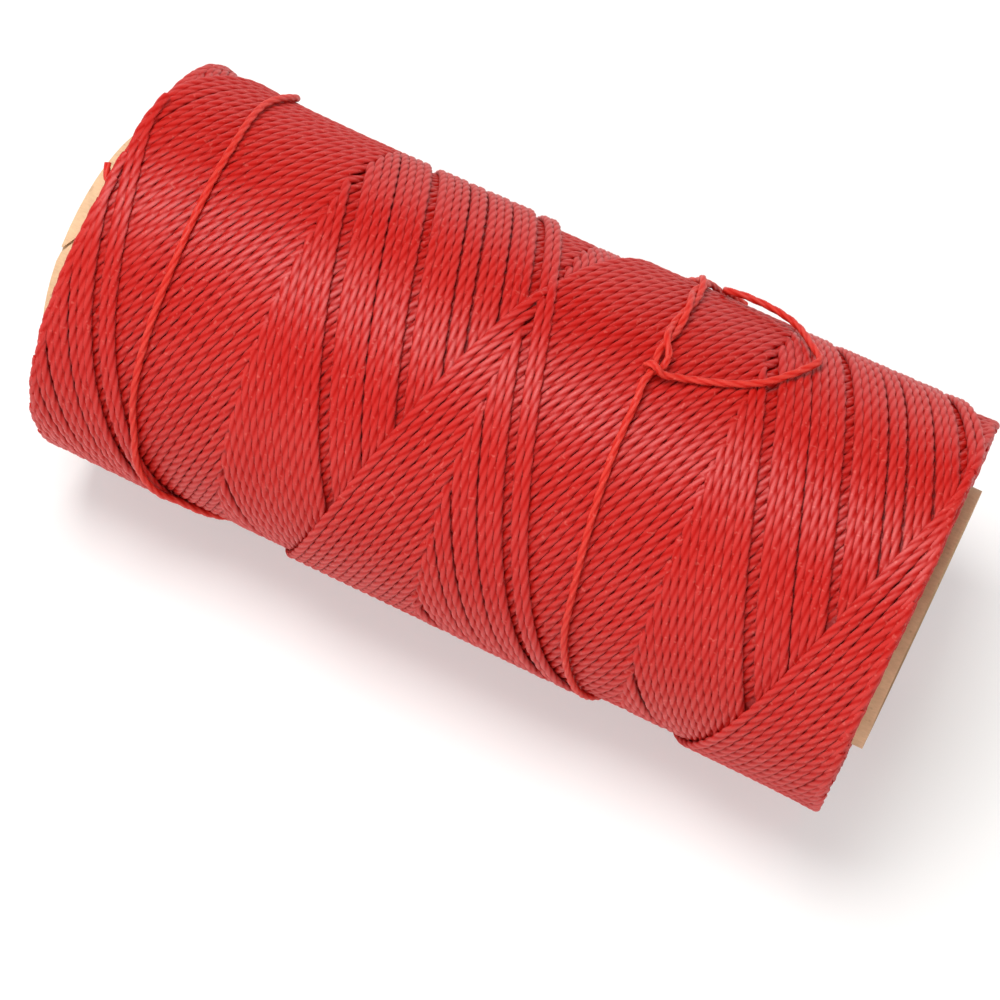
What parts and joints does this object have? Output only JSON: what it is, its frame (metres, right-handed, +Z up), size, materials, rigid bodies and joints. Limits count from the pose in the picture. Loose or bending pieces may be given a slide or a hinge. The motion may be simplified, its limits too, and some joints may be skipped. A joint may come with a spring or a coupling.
{
  "type": "waxed thread spool",
  "caption": "Cross-wound package of thick red waxed cord on an open cardboard tube, with its last strand hitched round the winding.",
  "frame": {"origin": "on the surface that the spool lies on, under the middle of the tube", "axes": "+X along the tube's axis, towards the end where less of the tube stands out; +Z up"},
  "size_m": [0.1212, 0.0586, 0.0602],
  "materials": {
    "kraft_paper": "uncoated kraft paper, matt",
    "waxed_cord": "twisted polyester cord with a thin, slightly hazy wax coat"
  },
  "bodies": {
    "root": {"tube_outer_ply": "kraft_paper", "tube_body_ply": "kraft_paper", "tube_liner_ply": "kraft_paper", "winding_core": "waxed_cord", "winding_outer_layer": "waxed_cord", "last_wrap": "waxed_cord", "hitch_knot": "waxed_cord", "tail_loop": "waxed_cord", "cut_end": "waxed_cord"}
  },
  "joints": []
}
